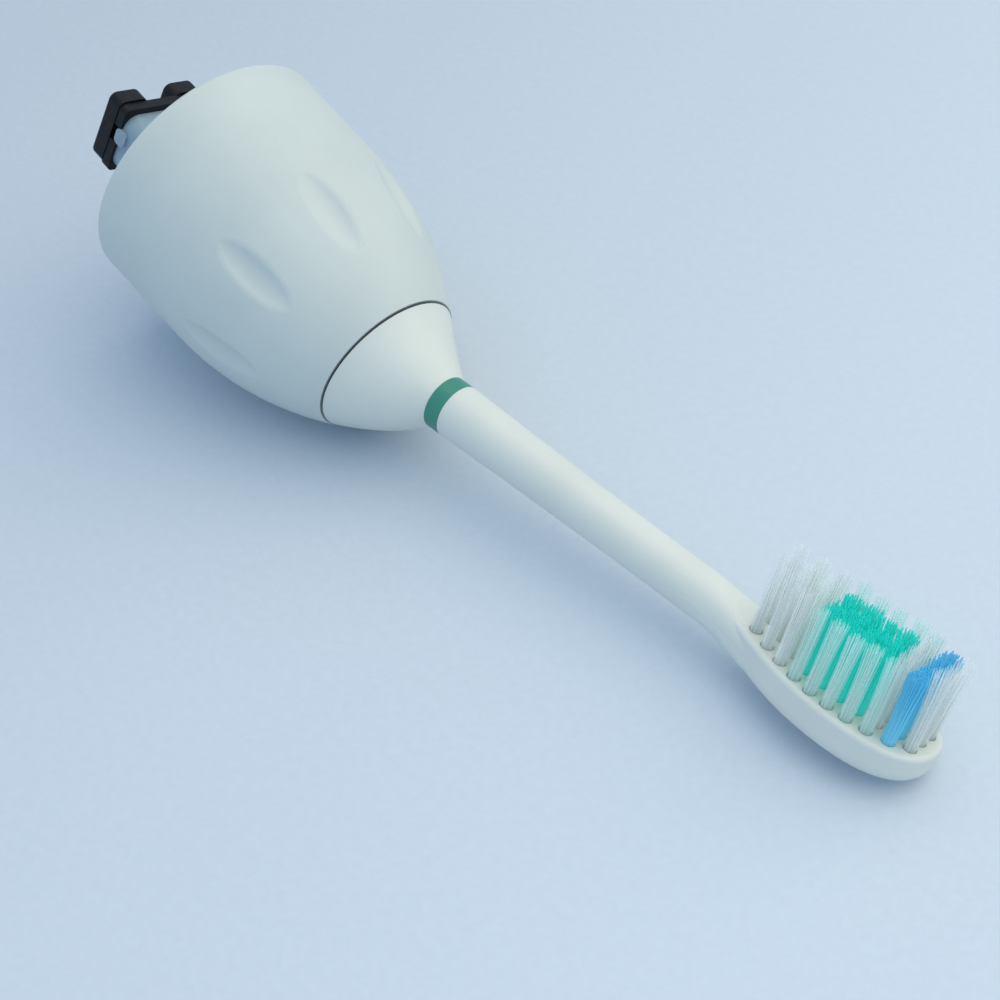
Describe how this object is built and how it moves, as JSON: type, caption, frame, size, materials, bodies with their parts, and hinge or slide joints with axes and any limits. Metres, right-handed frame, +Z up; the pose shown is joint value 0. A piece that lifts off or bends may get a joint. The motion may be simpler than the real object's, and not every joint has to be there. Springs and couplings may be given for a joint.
{
  "type": "electric toothbrush head",
  "caption": "Screw-on sonic toothbrush head: dimpled spinning nut, nose cone, slim neck with a colour ring, oval head with bristle tufts, and a magnet-driven lever at the rear.",
  "frame": {"origin": "centre of the bounding box on the surface that the head lies on", "axes": "+X from the nut's mouth towards the brush head, +Z up, bristles up; the nut's axis slopes 17 degrees down towards the head, so that the nut and the back of the head touch the surface"},
  "size_m": [0.1284, 0.033, 0.0368],
  "materials": {
    "collar_plastic": "smooth satin off-white moulding",
    "arm_plastic": "smooth satin off-white moulding, a little creamier than the nut",
    "inner_plastic": "plain off-white moulding",
    "ring_plastic": "smooth dark green",
    "lever_plastic": "milky, partly clear",
    "coated_iron": "black coated steel",
    "coated_magnet": "black coated magnet",
    "spring_steel": "bright steel",
    "seal_rubber": "soft dark grey rubber",
    "anchor_metal": "plain wire",
    "white_bristle": "fine clear-white nylon",
    "green_bristle": "fine green nylon",
    "blue_bristle": "fine blue nylon"
  },
  "bodies": {
    "base": {"pivot_base": "inner_plastic", "torsion_pin": "spring_steel", "retaining_clip": "spring_steel", "face_gasket": "seal_rubber"},
    "nut": {"retaining_nut": "collar_plastic"},
    "arm": {"brush_arm": "arm_plastic", "colour_ring": "ring_plastic", "seal_boot": "seal_rubber", "lever_block": "lever_plastic", "back_iron": "coated_iron", "left_magnet": "coated_magnet", "right_magnet": "coated_magnet", "tuft_anchors": "anchor_metal", "heel_tufts": "white_bristle", "right_edge_tufts": "white_bristle", "left_edge_tufts": "white_bristle", "centre_tufts": "green_bristle", "guard_tufts": "white_bristle", "indicator_tufts": "blue_bristle", "toe_tufts": "white_bristle"}
  },
  "joints": [
    {"name": "nut_spin", "type": "hinge", "parent": "base", "child": "nut", "pos_m": [-0.04874, 0, 0.02115], "axis": [0.9561, 0, -0.2931], "continuous": true},
    {"name": "arm_rock", "type": "hinge", "parent": "base", "child": "arm", "pos_m": [-0.02819, 0, 0.01485], "axis": [0.2761, 0.3355, 0.9007], "range_deg": [-1.2, 1.2], "stiffness_Nm_per_rad": 0.6}
  ]
}
